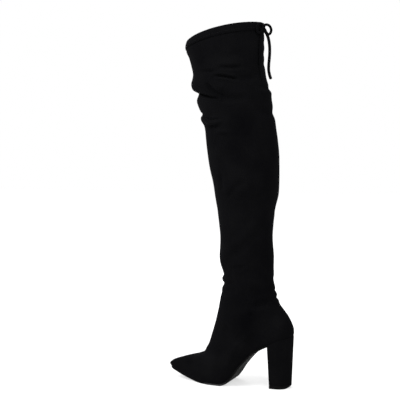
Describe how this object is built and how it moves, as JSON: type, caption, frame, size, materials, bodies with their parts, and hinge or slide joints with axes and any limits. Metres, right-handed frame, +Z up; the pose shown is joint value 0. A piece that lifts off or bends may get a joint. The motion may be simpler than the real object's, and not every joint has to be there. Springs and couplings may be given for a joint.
{
  "type": "over-the-knee boot",
  "caption": "Over-the-knee suede boot with a pointed toe, covered block heel, drawstring collar tied at the back and a half-length zip on the inner side.",
  "frame": {"origin": "on the floor under the middle of the heel's top piece", "axes": "+X from heel to toe, +Y to the outer side of the left foot, +Z up"},
  "size_m": [0.2533, 0.1179, 0.6745],
  "materials": {
    "suede": "black stretch suede with a short matte nap",
    "rubber": "black, satin",
    "lining": "black woven lining and sock, matte",
    "zip_tape": "black woven tape and nylon coil",
    "nickel": "polished nickel plate"
  },
  "bodies": {
    "boot": {"upper": "suede", "outsole": "rubber", "heel_block": "suede", "heel_top_piece": "rubber", "insole": "lining", "zip": "zip_tape", "zip_slider": "nickel", "tie_knot": "suede", "tie_loop_inner": "suede", "tie_loop_outer": "suede", "tie_end_inner": "suede", "tie_end_outer": "suede"},
    "zip_pull": {"zip_pull": "nickel"}
  },
  "joints": [
    {"name": "pull_swing", "type": "hinge", "parent": "boot", "child": "zip_pull", "pos_m": [0.09221, -0.04013, 0.23333], "axis": [-0.9105, -0.3721, 0.1801], "range_deg": [0, 170]}
  ]
}
